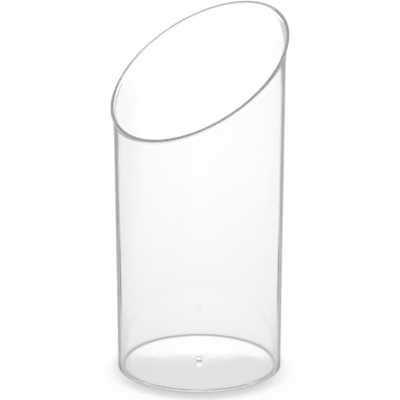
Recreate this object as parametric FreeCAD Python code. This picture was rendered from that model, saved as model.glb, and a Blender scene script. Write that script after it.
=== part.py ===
import FreeCAD
import Part
import math
import os
from FreeCAD import Vector

# Dessert cup with a slanted mouth, moulded in one piece from clear plastic.
# Millimetres and degrees. The cup's axis is +Z, the origin is the middle of the circle
# that it stands on, and the mouth is highest towards +X.

# Overall sizes
base_diameter = 41.0       # across the outside of the wall, at the table
high_side = 90.0           # table to the mouth plane's highest edge, before the lip is bevelled
slant_angle = 31.0         # mouth plane against the table
draft_angle = 0.5          # each wall leans outwards, so that the core pulls out

# Wall and floor
wall = 1.0
floor = 0.6
heel_radius = 0.3          # outside corner at the foot
floor_corner = 0.15        # inside corner between floor and wall

# Foot: the floor stands a little clear of the table inside a narrow ring
foot_clearance = 0.15
foot_width = 1.8
foot_bevel = 0.1

# Mouth: the wall eases outwards, then turns into a thin lip along the slant
flare_depth = 8.5          # measured straight down from the mouth plane
flare = 0.45               # how far the wall has moved outwards just under the lip
lip_overhang = 0.7         # lip's edge outside the straight wall
lip_edge = 0.2             # height of the lip's upright edge
lip_width = 0.75           # level width of the lip, over its bevels
lip_undercut = 0.1         # drop of the lip's underside from its edge to the wall
throat_depth = 0.8         # drop of the bevel inside the mouth
lip_bevel = 0.08           # breaks both edges of the lip's flat top

# Gate mark in the middle of the floor
gate_diameter = 1.4
gate_tip_diameter = 1.32
gate_height = 1.3
gate_bevel = 0.06

# Worked out from the sizes above
base_radius = base_diameter / 2
lean = math.tan(math.radians(draft_angle))
slope = math.tan(math.radians(slant_angle))
floor_top = foot_clearance + floor
lip_reach = (base_radius + lip_overhang) * slope
mouth_height = high_side * (1 - lean * slope) - lip_reach      # mouth plane on the cup's axis
over_mouth = high_side + wall                                  # level that clears the whole mouth


def wall_radius(height, inset):
    """Radius of the straight leaning wall, moved towards the axis by inset."""
    return base_radius - inset + lean * height


def leaning_column(bottom, top, inset):
    """A solid column whose side is the straight leaning wall, moved in by inset."""
    return Part.makeCone(wall_radius(bottom, inset), wall_radius(top, inset), top - bottom, Vector(0, 0, bottom))


def edges_at(solid, height):
    """The edges that lie flat at a height."""
    flat = []
    for edge in solid.Edges:
        box = edge.BoundBox
        if abs(box.ZMin - height) < 1e-6 and abs(box.ZMax - height) < 1e-6:
            flat.append(edge)
    return flat


def mouth_loop(drop, inset):
    """The ellipse that a plane parallel to the mouth, drop below it, cuts from the leaning wall."""
    height = mouth_height - drop
    radius = wall_radius(height, inset)
    pull = lean * slope
    half_length = radius / (1 - pull * pull)
    half_width = radius / math.sqrt(1 - pull * pull)
    middle_x = half_length * pull
    middle = Vector(middle_x, 0, height + slope * middle_x)
    uphill = middle + Vector(half_length, 0, slope * half_length)
    across = middle + Vector(0, half_width, 0)
    return Part.Wire(Part.Ellipse(uphill, across, middle).toShape())


def slanted_loft(sections, ruled):
    """A solid through mouth loops, each given as (drop, inset)."""
    loops = [mouth_loop(drop, inset) for drop, inset in sections]
    return Part.makeLoft(loops, True, ruled)


def below_flare(column):
    """What is left of a column under the plane where the flare starts."""
    reach = 4 * base_radius
    corners = [
        Vector(-reach, 0, mouth_height - flare_depth - slope * reach),
        Vector(reach, 0, mouth_height - flare_depth + slope * reach),
        Vector(reach, 0, mouth_height + slope * reach + over_mouth),
        Vector(-reach, 0, mouth_height + slope * reach + over_mouth),
    ]
    side = Part.Face(Part.makePolygon(corners + [corners[0]]))
    above = side.extrude(Vector(0, 2 * reach, 0))
    above.translate(Vector(0, -reach, 0))
    return column.cut(above)


def flare_sections(bottom_inset, end_drop, steps):
    """Loops of a wall that eases outwards as a parabola, from the straight wall up to end_drop."""
    sections = []
    for step in range(steps + 1):
        climbed = step / steps
        drop = flare_depth + climbed * (end_drop - flare_depth)
        sections.append((drop, bottom_inset - flare * climbed ** 2))
    return sections


def outer_form():
    """The outside of the cup as a solid: column, flare and lip, with a rounded heel."""
    column = leaning_column(0, over_mouth, 0)
    column = column.makeFillet(heel_radius, edges_at(column, 0))
    under_lip = lip_edge + lip_undercut
    flared = slanted_loft(flare_sections(0, under_lip, 4), False)
    underside = slanted_loft([(under_lip, -flare), (lip_edge, -lip_overhang)], True)
    edge = slanted_loft([
        (lip_edge, -lip_overhang), (lip_bevel, -lip_overhang), (0, lip_bevel - lip_overhang),
    ], True)
    return below_flare(column).fuse([flared, underside, edge]).removeSplitter()


def inner_form():
    """The space inside the cup as a solid: straight bore, flare and the bevel into the mouth."""
    bore = leaning_column(floor_top, over_mouth, wall)
    bore = bore.makeFillet(floor_corner, edges_at(bore, floor_top))
    lip_inset = lip_width - lip_overhang
    top_inset = lip_inset - lip_bevel
    flared = slanted_loft(flare_sections(wall, throat_depth, 4), False)
    bevel = slanted_loft([(throat_depth, wall - flare), (lip_bevel, lip_inset), (0, top_inset)], True)
    opening = slanted_loft([(0, top_inset), (-wall, top_inset)], True)
    return below_flare(bore).fuse([flared, bevel, opening]).removeSplitter()


def foot_hollow():
    """The shallow space under the floor, inside the foot ring."""
    edge_radius = wall_radius(0, foot_width)
    hollow = Part.makeCone(edge_radius + foot_bevel, edge_radius, foot_bevel)
    return hollow.fuse(Part.makeCylinder(edge_radius, foot_clearance)).removeSplitter()


def gate_mark():
    """The pin that the gate leaves on the floor, with a bevelled tip."""
    root = floor_top - floor / 2
    height = gate_height + floor / 2
    pin = Part.makeCone(gate_diameter / 2, gate_tip_diameter / 2, height, Vector(0, 0, root))
    return pin.makeChamfer(gate_bevel, edges_at(pin, root + height))


def cup():
    """The whole cup, one moulding."""
    shell = outer_form().cut(inner_form())
    return shell.cut(foot_hollow()).fuse(gate_mark()).removeSplitter()


os.makedirs("parts", exist_ok=True)
solid = cup()
if len(solid.Solids) != 1 or not solid.isValid():
    raise ValueError("the cup is not one sound solid")
solid.Solids[0].exportStep("parts/cup.step")
print("cup:", round(solid.Volume, 1), "mm3,", solid.BoundBox)
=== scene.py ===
import bpy
import bmesh
import math
from mathutils import Matrix, Vector


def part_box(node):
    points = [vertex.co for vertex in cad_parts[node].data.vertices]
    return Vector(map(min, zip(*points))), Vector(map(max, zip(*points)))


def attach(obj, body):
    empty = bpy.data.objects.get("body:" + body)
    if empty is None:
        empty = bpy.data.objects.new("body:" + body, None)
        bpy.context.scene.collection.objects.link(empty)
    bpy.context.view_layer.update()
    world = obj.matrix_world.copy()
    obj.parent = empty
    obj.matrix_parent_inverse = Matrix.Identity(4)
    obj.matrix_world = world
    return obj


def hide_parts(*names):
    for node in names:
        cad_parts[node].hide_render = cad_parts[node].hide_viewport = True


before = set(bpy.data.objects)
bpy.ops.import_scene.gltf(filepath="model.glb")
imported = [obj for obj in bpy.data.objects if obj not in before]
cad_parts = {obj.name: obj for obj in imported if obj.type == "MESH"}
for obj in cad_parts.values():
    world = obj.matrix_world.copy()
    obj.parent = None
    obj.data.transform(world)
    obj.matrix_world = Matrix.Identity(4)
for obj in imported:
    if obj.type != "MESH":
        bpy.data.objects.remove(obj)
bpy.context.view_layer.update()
mm = 0.001

print("stage: packed model loaded")


class Wire:
    # a node's output that can be added, subtracted and multiplied, or a bare node tree
    def __init__(self, tree, socket=None):
        self.tree = tree
        self.socket = socket

    def node(self, kind, settings, sockets, output=0):
        made = self.tree.nodes.new(kind)
        for name, value in settings.items():
            if name == "stops":
                self.setStops(made.color_ramp, value)
            else:
                setattr(made, name, value)
        for name, value in sockets.items():
            if isinstance(value, Wire):
                self.tree.links.new(value.socket, made.inputs[name])
            else:
                made.inputs[name].default_value = value
        return Wire(self.tree, made.outputs[output] if made.outputs else None)

    def other(self, output):
        return Wire(self.tree, self.socket.node.outputs[output])

    def setStops(self, ramp, stops):
        while len(ramp.elements) < len(stops):
            ramp.elements.new(1.0)
        for element, (place, grey) in zip(ramp.elements, stops):
            element.position = place
            element.color = (grey, grey, grey, 1.0)

    def ramp(self, stops):
        return self.node("ShaderNodeValToRGB", {"stops": stops}, {0: self})

    def fade(self, start, end):
        # 0 up to start, 1 from end on, and soft between; start may be the larger one
        return self.node("ShaderNodeMapRange", {"interpolation_type": "SMOOTHSTEP"},
                         {"Value": self, "From Min": start, "From Max": end})

    def maths(self, operation, first, second):
        return self.node("ShaderNodeMath", {"operation": operation}, {0: first, 1: second})

    def __add__(self, other):
        return self.maths("ADD", self, other)

    __radd__ = __add__

    def __mul__(self, other):
        return self.maths("MULTIPLY", self, other)

    __rmul__ = __mul__

    def __sub__(self, other):
        return self.maths("SUBTRACT", self, other)

    def __rsub__(self, other):
        return self.maths("SUBTRACT", other, self)


def newMaterial(name):
    material = bpy.data.materials.new(name)
    material.use_nodes = True
    material.node_tree.nodes.clear()
    return material, Wire(material.node_tree)


cupSize = {
    "slant": math.radians(31.0),
    "draft": math.radians(0.5),
    "wall": 1.0 * mm,
    "floor": 0.6 * mm,
    "footClearance": 0.15 * mm,
    "footWidth": 1.8 * mm,
    "footBevel": 0.1 * mm,
    "footRound": 0.06 * mm,
    "footGrooveRound": 0.03 * mm,
    "heelRadius": 0.3 * mm,
    "floorCorner": 0.15 * mm,
    "flareDepth": 8.5 * mm,
    "flare": 0.45 * mm,
    "lipOverhang": 0.7 * mm,
    "lipEdge": 0.2 * mm,
    "lipWidth": 0.75 * mm,
    "lipUndercut": 0.1 * mm,
    "throatDepth": 0.8 * mm,
    "lipRound": 0.08 * mm,
    "gateRadius": 0.7 * mm,
    "gateTipRadius": 0.66 * mm,
    "gateHeight": 1.3 * mm,
    "gateRound": 0.06 * mm,
    "gateRing": 0.05 * mm,
    "collarPerFlare": 1.5,  # the slant starts this many flare depths below the mouth
    "stepsAround": 384,
    "stepsInFlare": 8,
    "stepsInCorner": 8,
    "cornerRoom": 1.15,     # where the straight step beside an arc ends, in lengths of the arc's reach
    "cornerLimit": 0.9,     # the share of an edge past which it gets no such step
    "mergeDistance": 0.0001 * mm,
}

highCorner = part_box("cup")[1]
lean = math.tan(cupSize["draft"])
slope = math.tan(cupSize["slant"])
lipRadius = highCorner.y
lipTopRadius = lipRadius - cupSize["lipRound"]
mouthHeight = highCorner.z - slope * lipTopRadius * (1 + lean * slope)
baseRadius = lipRadius - cupSize["lipOverhang"] - lean * mouthHeight
floorTop = cupSize["footClearance"] + cupSize["floor"]


def leaningRadius(height):
    return baseRadius + lean * height


def roundCorner(bm, corner, radius):
    # turns a corner of the outline into an arc, with a short straight step at each end of it
    ways = [(edge.other_vert(corner).co - corner.co).normalized() for edge in corner.link_edges]
    turn = math.pi - ways[0].angle(ways[1])
    reach = radius * math.tan(turn / 2)
    for edge in list(corner.link_edges):
        share = cupSize["cornerRoom"] * reach / edge.calc_length()
        if share < cupSize["cornerLimit"]:
            bmesh.utils.edge_split(edge, corner, share)
    bmesh.ops.bevel(bm, geom=[corner], offset=reach, offset_type="OFFSET",
                    segments=cupSize["stepsInCorner"], profile=0.5, affect="VERTICES", material=-1)


def cupOutline():
    # (radius, height, rounding) from under the middle of the floor, up the outside, over the
    # lip and down the inside; above the collar each height is the one on the cup's axis
    size = cupSize
    ringInside = leaningRadius(0) - size["footWidth"]
    lipOutside = leaningRadius(mouthHeight) + size["lipOverhang"]
    lipInside = lipOutside - size["lipWidth"]
    underLip = size["lipEdge"] + size["lipUndercut"]
    gateTop = floorTop + size["gateHeight"]
    points = [
        (0, size["footClearance"], 0),
        (ringInside, size["footClearance"], size["footGrooveRound"]),
        (ringInside, size["footBevel"], 0),
        (ringInside + size["footBevel"], 0, size["footRound"]),
        (leaningRadius(0), 0, size["heelRadius"]),
    ]
    for step in range(size["stepsInFlare"] + 1):
        climbed = step / size["stepsInFlare"]
        height = mouthHeight - size["flareDepth"] + climbed * (size["flareDepth"] - underLip)
        points.append((leaningRadius(height) + size["flare"] * climbed ** 2, height, 0))
    points += [
        (lipOutside, mouthHeight - size["lipEdge"], size["lipRound"]),
        (lipOutside, mouthHeight, size["lipRound"]),
        (lipInside, mouthHeight, size["lipRound"]),
    ]
    for step in range(size["stepsInFlare"] + 1):
        fallen = step / size["stepsInFlare"]
        height = mouthHeight - size["throatDepth"] - fallen * (size["flareDepth"] - size["throatDepth"])
        bore = leaningRadius(height) - size["wall"]
        points.append((bore + size["flare"] * (1 - fallen) ** 2, height, 0))
    points += [
        (leaningRadius(floorTop) - size["wall"], floorTop, size["floorCorner"]),
        (size["gateRadius"] + size["gateRing"], floorTop, 0),
        (size["gateRadius"], floorTop, 0),
        (size["gateTipRadius"], gateTop, size["gateRound"]),
        (0, gateTop, 0),
    ]
    return points


def markOuterSide(bm):
    # 0 on what faces the axis above the floor, which is the bore, and 1 elsewhere
    outerSide = bm.faces.layers.float.new("outerSide")
    midFloor = cupSize["footClearance"] + cupSize["floor"] / 2
    for face in bm.faces:
        middle = face.calc_center_median()
        facesAxis = face.normal.x * middle.x + face.normal.y * middle.y < 0
        face[outerSide] = 0.0 if facesAxis and middle.z > midFloor else 1.0


def slantMouth(bm):
    # shears what is above the collar onto the slant, and shifts it, because a slanted cut through
    # a leaning wall has its middle off the axis
    collar = mouthHeight - cupSize["collarPerFlare"] * cupSize["flareDepth"]
    above = [vert for vert in bm.verts if vert.co.z > collar]
    pull = lean * slope * leaningRadius(mouthHeight)
    shear = Matrix(((1, 0, 0, pull), (0, 1, 0, 0), (slope, 0, 1, slope * pull), (0, 0, 0, 1)))
    bmesh.ops.transform(bm, matrix=shear, verts=above)


def makeCup():
    bm = bmesh.new()
    outline = cupOutline()
    corners = [bm.verts.new((radius, 0, height)) for radius, height, rounding in outline]
    for first, second in zip(corners, corners[1:]):
        bm.edges.new((first, second))
    for corner, (radius, height, rounding) in zip(corners, outline):
        if rounding:
            roundCorner(bm, corner, rounding)
    bmesh.ops.spin(bm, geom=bm.verts[:] + bm.edges[:], cent=(0, 0, 0), axis=(0, 0, 1), dvec=(0, 0, 0),
                   angle=math.tau, steps=cupSize["stepsAround"], use_merge=True, use_duplicate=False)
    bmesh.ops.remove_doubles(bm, verts=bm.verts, dist=cupSize["mergeDistance"])
    bmesh.ops.recalc_face_normals(bm, faces=bm.faces)
    for face in bm.faces:
        face.smooth = True
    markOuterSide(bm)
    slantMouth(bm)
    mesh = bpy.data.meshes.new("clear_cup")
    bm.to_mesh(mesh)
    bm.free()
    cup = bpy.data.objects.new("clear_cup", mesh)
    bpy.context.scene.collection.objects.link(cup)
    return cup


cup = makeCup()
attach(cup, "root")
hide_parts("cup")
print("stage: cup modelled,", len(cup.data.polygons), "faces")


# each ramp gives the plastic's colour from faced squarely (0) to edge on (1): painted shade that darkens the
# edges of the form in place of the dark edges from refraction and reflection; lower down it reaches further
# in but stays lighter at the very edge
plasticLook = {
    "ior": 1.55,
    "highEdgeStops": [
        (0.0, 1.0), (0.38, 0.96), (0.6, 0.91), (0.67, 0.82), (0.705, 0.5), (0.735, 0.12), (0.77, 0.02),
        (0.85, 0.0),
    ],
    "midEdgeStops": [
        (0.0, 1.0), (0.38, 0.96), (0.58, 0.9), (0.66, 0.82), (0.69, 0.5), (0.705, 0.0), (0.722, 0.0),
        (0.75, 0.2), (0.79, 0.02), (1.0, 0.0),
    ],
    "lowEdgeStops": [
        (0.0, 1.0), (0.45, 0.94), (0.55, 0.86), (0.65, 0.74), (0.7, 0.55), (0.74, 0.3), (0.78, 0.05),
        (0.85, 0.0),
    ],
    "midEdgeTop": 42.0 * mm,
    "midEdgeBottom": 31.0 * mm,
    "lowEdgeTop": 21.0 * mm,
    "lowEdgeBottom": 12.0 * mm,
    "wallLoss": 0.012,
    # painted shade: the wall's colour darkens towards the foot
    "paintedShadeTowardsFoot": 0.08,
    "footTop": 1.1 * mm,
    "footBlend": 0.5 * mm,
    "footMargin": 0.05 * mm,
    # painted shade on the foot's colour
    "footPaintedShade": 0.12,
    "footEdge": 0.2,
    "footRoughness": 0.35,
    "gateMargin": 0.01 * mm,
    "gateStart": 0.02 * mm,
    "gateRoughness": 0.1,
    # painted shade on the outside of the lip
    "lipPaintedShade": 0.5,
    "lipBottom": 0.5 * mm,
    "lipBlend": 0.3 * mm,
    "waveScale": 110.0,
    "waveStretch": 0.35,
    "waveDepth": 0.003 * mm,
    "rippleScale": 1300.0,
    "rippleShare": 3.0,
    "speckScale": 1100.0,
    "speckFrom": 0.66,
    "speckTo": 0.74,
    "speckRoughness": 0.2,
}


def clearPlastic():
    # the plastic's colour: a faint even tint of its own, and painted shade towards the foot, on the lip, on
    # the foot and where it is seen along its edge
    look = plasticLook
    material, start = newMaterial("clear_plastic")
    place = start.node("ShaderNodeTexCoord", {}, {}, "Object")
    across = start.node("ShaderNodeSeparateXYZ", {}, {0: place}, "X")
    along = across.other("Y")
    height = across.other("Z")
    fromAxis = across * across + along * along    # the distance squared
    outerSide = start.node("ShaderNodeAttribute", {"attribute_name": "outerSide"}, {}, "Fac")

    # the parts of the cup: foot, floor, lip and gate mark
    footInside = baseRadius - cupSize["footWidth"] - look["footMargin"]
    outOfFloor = start.maths("GREATER_THAN", fromAxis, footInside ** 2)
    foot = height.fade(look["footTop"], look["footTop"] - look["footBlend"])
    scuffAndPaintedShade = foot * outOfFloor
    belowMouth = mouthHeight - (height - across * slope)
    lip = belowMouth.fade(look["lipBottom"], look["lipBottom"] - look["lipBlend"])
    inGate = start.maths("LESS_THAN", fromAxis, (cupSize["gateRadius"] + look["gateMargin"]) ** 2)
    gate = inGate * start.maths("GREATER_THAN", height, floorTop + look["gateStart"])

    # a faint even tint through the wall, with painted shade added towards the foot and on the lip, and
    # painted shade towards the edge of the form
    lowness = 1 - height * (1 / mouthHeight)
    tintAndPaintedShade = lowness * lowness * look["paintedShadeTowardsFoot"] + look["wallLoss"] + lip * outerSide * look["lipPaintedShade"]
    # painted shade: these ramps darken the plastic's colour as its surface turns edge on, and they change
    # with height
    facing = start.node("ShaderNodeLayerWeight", {}, {"Blend": 0.5}, "Facing")
    highEdge = facing.ramp(look["highEdgeStops"])
    midEdge = facing.ramp(look["midEdgeStops"])
    lowEdge = facing.ramp(look["lowEdgeStops"])
    mid = height.fade(look["midEdgeTop"], look["midEdgeBottom"]) * outOfFloor
    low = height.fade(look["lowEdgeTop"], look["lowEdgeBottom"]) * outOfFloor
    upper = highEdge + (midEdge - highEdge) * mid
    # on the foot the painted edge shade is kept no darker than footEdge
    edge = start.maths("MAXIMUM", upper + (lowEdge - upper) * low, foot * look["footEdge"])
    wallTintAndPaintedShade = 1 - tintAndPaintedShade * outOfFloor * (1 - foot)
    paintedEdgeShade = 1 - outerSide * (1 - edge)
    # painted shade on the foot, over its real rough, scuffed surface
    paintedFootShade = 1 - scuffAndPaintedShade * look["footPaintedShade"]

    # slow waves from the mould, ripples and a dull surface on the foot, and a few dull specks
    flow = start.node("ShaderNodeCombineXYZ", {},
                      {"X": across, "Y": along, "Z": height * look["waveStretch"]})
    wave = start.node("ShaderNodeTexNoise", {},
                      {"Vector": flow, "Scale": look["waveScale"], "Detail": 2.0})
    ripple = start.node("ShaderNodeTexNoise", {},
                        {"Vector": place, "Scale": look["rippleScale"], "Detail": 1.0})
    speckle = start.node("ShaderNodeTexNoise", {},
                         {"Vector": place, "Scale": look["speckScale"], "Detail": 3.0})
    speck = speckle.fade(look["speckFrom"], look["speckTo"])
    dullness = scuffAndPaintedShade * look["footRoughness"] + gate * look["gateRoughness"] + speck * look["speckRoughness"]
    surface = start.node("ShaderNodeBump", {}, {
        "Height": wave + ripple * scuffAndPaintedShade * look["rippleShare"],
        "Strength": 1.0,
        "Distance": look["waveDepth"],
    })
    shader = start.node("ShaderNodeBsdfPrincipled", {}, {
        "Base Color": wallTintAndPaintedShade * paintedEdgeShade * paintedFootShade,
        "Normal": surface,
        "Roughness": dullness,
        "IOR": look["ior"],
        "Transmission Weight": 1.0,
    })
    start.node("ShaderNodeOutputMaterial", {}, {"Surface": shader})
    return material


cup.data.materials.append(clearPlastic())
print("stage: clear plastic made")


# left, side, front and rear are as the camera sees them
stageLook = {
    "floorSize": 8.0,
    "floorGrey": 0.85,
    "floorGlow": 0.18,
    "patchGlow": 0.48,
    "ringGlow": 0.4,
    "sideGlow": 0.11,
    "sideReach": 4.0 * mm,
    "sideStart": 17.0 * mm,
    "sideEnd": 9.0 * mm,
    "rearStart": 5.0 * mm,
    "rearEnd": -12.0 * mm,
    "leftDimness": 0.6,
    "leftStart": 16.0 * mm,
    "leftEnd": 45.0 * mm,
    "backdropTop": math.sin(math.radians(21.16)),
    "backdropBlur": 0.0016,
    "backdropLight": 1.38,
    "ceilingGrey": 0.12,
    "backShare": 0.4,
    "lampShare": 0.3,
    "lampElevation": math.radians(88.0),
    "lampSpread": math.radians(3.2),
    "lampTurn": math.radians(-5.0),
}

cameraPlace = {
    "azimuth": math.radians(-44.78),
    "elevation": math.radians(18.05),
    "distance": 717.5 * mm,
    "aimBelowMiddle": 1.53 * mm,
    "aimRight": 0.173 * mm,
    "lens": 260.28,
    "nearest": 0.01,
    "furthest": 20.0,
}


def makeFloor():
    bm = bmesh.new()
    bmesh.ops.create_grid(bm, x_segments=1, y_segments=1, size=stageLook["floorSize"] / 2)
    mesh = bpy.data.meshes.new("floor")
    bm.to_mesh(mesh)
    bm.free()
    floor = bpy.data.objects.new("floor", mesh)
    bpy.context.scene.collection.objects.link(floor)
    return floor


def raySeen(start):
    # 1 for a ray that the camera sees along, and 1 for one that it sees by way of clear plastic
    camera = start.node("ShaderNodeLightPath", {}, {}, "Is Camera Ray")
    plastic = start.maths("MAXIMUM", camera.other("Is Glossy Ray"), camera.other("Is Transmission Ray"))
    unscattered = start.maths("LESS_THAN", camera.other("Diffuse Depth"), 0.5)
    return camera, plastic * unscattered


def paleFloor():
    # a matt board that brightens to plain white where it is looked at
    look = stageLook
    material, start = newMaterial("pale_floor")
    camera, plastic = raySeen(start)
    place = start.node("ShaderNodeTexCoord", {}, {}, "Object")
    across = start.node("ShaderNodeSeparateXYZ", {}, {0: place}, "X")
    along = across.other("Y")
    fromAxis = across * across + along * along    # the distance squared
    left = across * -math.cos(cameraPlace["azimuth"]) - along * math.sin(cameraPlace["azimuth"])
    front = across * math.sin(cameraPlace["azimuth"]) - along * math.cos(cameraPlace["azimuth"])

    # painted shade and light on the board as plastic sees it: dimmer far to the left, and a painted pool of
    # light straight below the cup, in place of light that passes down through it
    dimLeft = left.fade(look["leftStart"], look["leftEnd"]) * look["leftDimness"]
    seen = start.maths("MAXIMUM", camera, plastic * (1 - dimLeft))
    # painted light: a glowing patch under the foot ring, brighter still under the floor
    underCup = start.maths("LESS_THAN", fromAxis, (baseRadius - cupSize["heelRadius"]) ** 2)
    underFloor = start.maths("LESS_THAN", fromAxis, (baseRadius - cupSize["footWidth"]) ** 2)
    patch = underCup * look["ringGlow"] + underFloor * (look["patchGlow"] - look["ringGlow"])

    # for the camera, a little light fills the shadow on both sides of the foot
    beside = fromAxis.fade((baseRadius + look["sideReach"]) ** 2, baseRadius ** 2)
    side = front.fade(look["sideStart"], look["sideEnd"])
    rear = front.fade(look["rearStart"], look["rearEnd"])
    fill = beside * side * (1 - rear) * look["sideGlow"]

    grey = look["floorGrey"]
    matt = start.node("ShaderNodeBsdfDiffuse", {}, {"Color": (grey, grey, grey, 1.0)})
    glow = start.node("ShaderNodeEmission", {}, {
        "Color": (1.0, 1.0, 1.0, 1.0),
        "Strength": seen * look["floorGlow"] + patch * plastic + fill * camera,
    })
    both = start.node("ShaderNodeAddShader", {}, {0: matt, 1: glow})
    start.node("ShaderNodeOutputMaterial", {}, {"Surface": both})
    return material


def makeWorld():
    # white all round up to the top of the backdrop, and dim above it where plastic looks up
    look = stageLook
    world = bpy.data.worlds.new("studio")
    bpy.context.scene.world = world
    world.use_nodes = True
    world.node_tree.nodes.clear()
    start = Wire(world.node_tree)
    way = start.node("ShaderNodeTexCoord", {}, {}, "Generated")
    across = start.node("ShaderNodeSeparateXYZ", {}, {0: way}, "X")
    along = across.other("Y")
    height = across.other("Z")
    behind = across * -math.sin(cameraPlace["azimuth"]) + along * math.cos(cameraPlace["azimuth"])
    lit = (1 + behind * look["backShare"]) * (1 - look["lampShare"])
    aboveFloor = start.maths("GREATER_THAN", height, 0.0)
    overBackdrop = height.fade(look["backdropTop"] - look["backdropBlur"],
                               look["backdropTop"] + look["backdropBlur"])
    dimmer = look["backdropLight"] - look["ceilingGrey"]
    mirrored = 1 + aboveFloor * (look["backdropLight"] - 1) - overBackdrop * dimmer
    camera, plastic = raySeen(start)
    strength = lit * (1 - start.maths("MAXIMUM", camera, plastic)) + camera + plastic * mirrored
    background = start.node("ShaderNodeBackground", {},
                            {"Color": (1.0, 1.0, 1.0, 1.0), "Strength": strength})
    start.node("ShaderNodeOutputWorld", {}, {"Surface": background})


def makeLamp():
    # a soft lamp overhead, a little behind the cup, that only the matt board sees
    look = stageLook
    data = bpy.data.lights.new("soft_lamp", "SUN")
    data.energy = math.pi * look["lampShare"]
    data.angle = look["lampSpread"]
    lamp = bpy.data.objects.new("soft_lamp", data)
    level = math.cos(look["lampElevation"])
    azimuth = cameraPlace["azimuth"] + look["lampTurn"]
    towards = Vector((-math.sin(azimuth) * level, math.cos(azimuth) * level, math.sin(look["lampElevation"])))
    lamp.rotation_euler = towards.to_track_quat("Z", "Y").to_euler()
    lamp.visible_glossy = False
    lamp.visible_transmission = False
    bpy.context.scene.collection.objects.link(lamp)


floor = makeFloor()
floor.data.materials.append(paleFloor())
makeWorld()
makeLamp()
print("stage: floor and light made")


def makeCamera():
    place = cameraPlace
    back = Vector((
        math.sin(place["azimuth"]) * math.cos(place["elevation"]),
        -math.cos(place["azimuth"]) * math.cos(place["elevation"]),
        math.sin(place["elevation"]),
    ))
    right = Vector((math.cos(place["azimuth"]), math.sin(place["azimuth"]), 0))
    aim = Vector((0, 0, highCorner.z / 2 - place["aimBelowMiddle"])) + right * place["aimRight"]
    data = bpy.data.cameras.new("camera")
    data.lens = place["lens"]
    data.clip_start = place["nearest"]
    data.clip_end = place["furthest"]
    camera = bpy.data.objects.new("camera", data)
    camera.location = aim + back * place["distance"]
    camera.rotation_euler = back.to_track_quat("Z", "Y").to_euler()
    bpy.context.scene.collection.objects.link(camera)
    bpy.context.scene.camera = camera


makeCamera()
longestPath = 400    # clear plastic needs long, unblurred light paths
lightPaths = bpy.context.scene.cycles
lightPaths.max_bounces = longestPath
lightPaths.glossy_bounces = longestPath
lightPaths.transmission_bounces = longestPath
lightPaths.blur_glossy = 0
bpy.context.scene.view_settings.view_transform = "Standard"
print("stage: camera placed")
